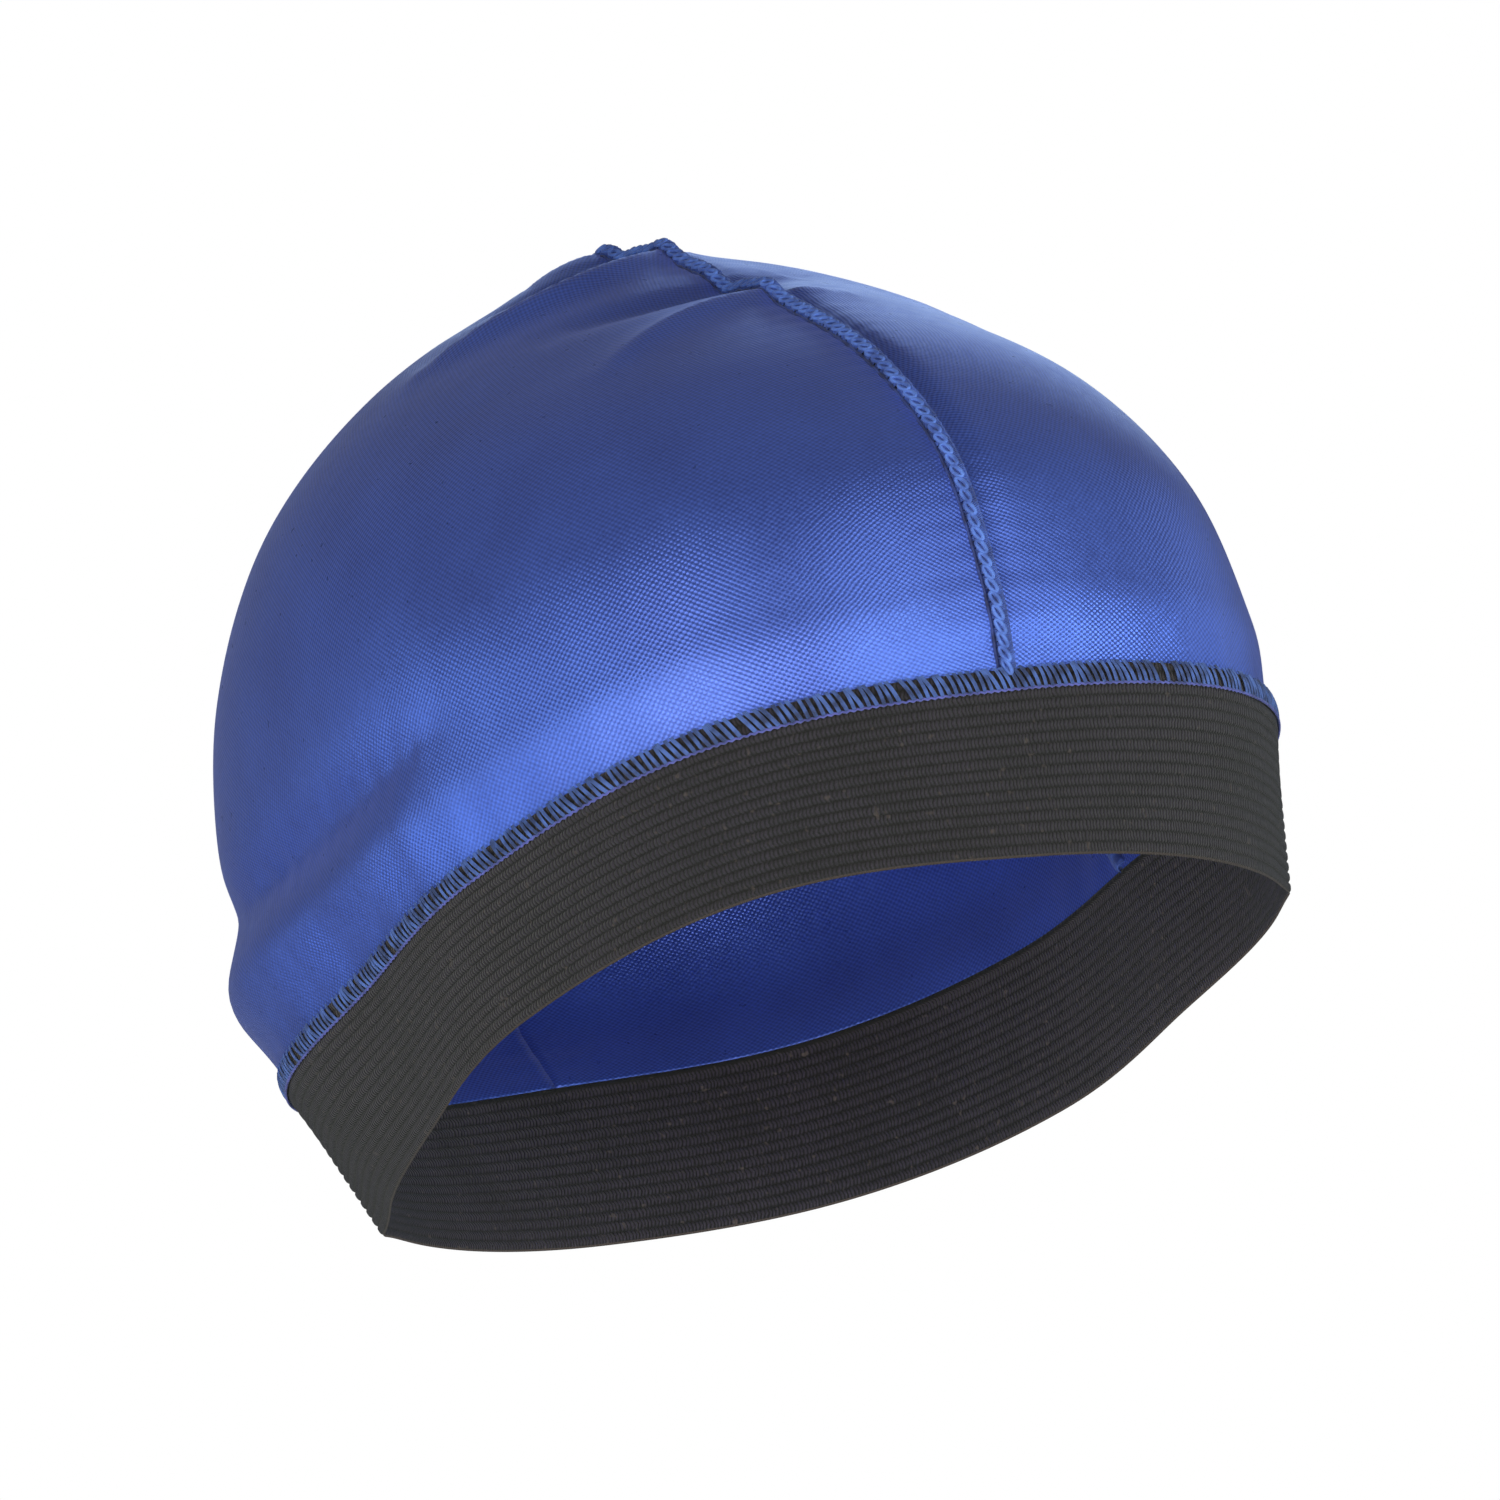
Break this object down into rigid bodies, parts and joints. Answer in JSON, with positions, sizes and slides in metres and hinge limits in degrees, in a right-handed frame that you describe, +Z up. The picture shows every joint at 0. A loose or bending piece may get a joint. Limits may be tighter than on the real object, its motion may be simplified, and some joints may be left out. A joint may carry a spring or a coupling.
{
  "type": "durag",
  "caption": "Close-fitting satin durag of the wave-cap kind: panels joined by a raised crown seam on a wide ribbed elastic band.",
  "frame": {"origin": "middle of the loop where the satin meets the elastic band, which is where a head holds the cap", "axes": "+Z up through the crown, -Y towards the forehead, +X towards the wearer's left"},
  "size_m": [0.1623, 0.2076, 0.153],
  "materials": {
    "satin": "royal blue satin, smooth with a soft sheen",
    "seam_thread": "royal blue overlock thread, matt",
    "elastic": "black ribbed knitted elastic, matt"
  },
  "bodies": {
    "root": {"satin_panel_left": "satin", "satin_panel_right": "satin", "crown_seam": "seam_thread", "elastic_band": "elastic", "band_overlock": "seam_thread", "inner_side_seam": "seam_thread"}
  },
  "joints": []
}
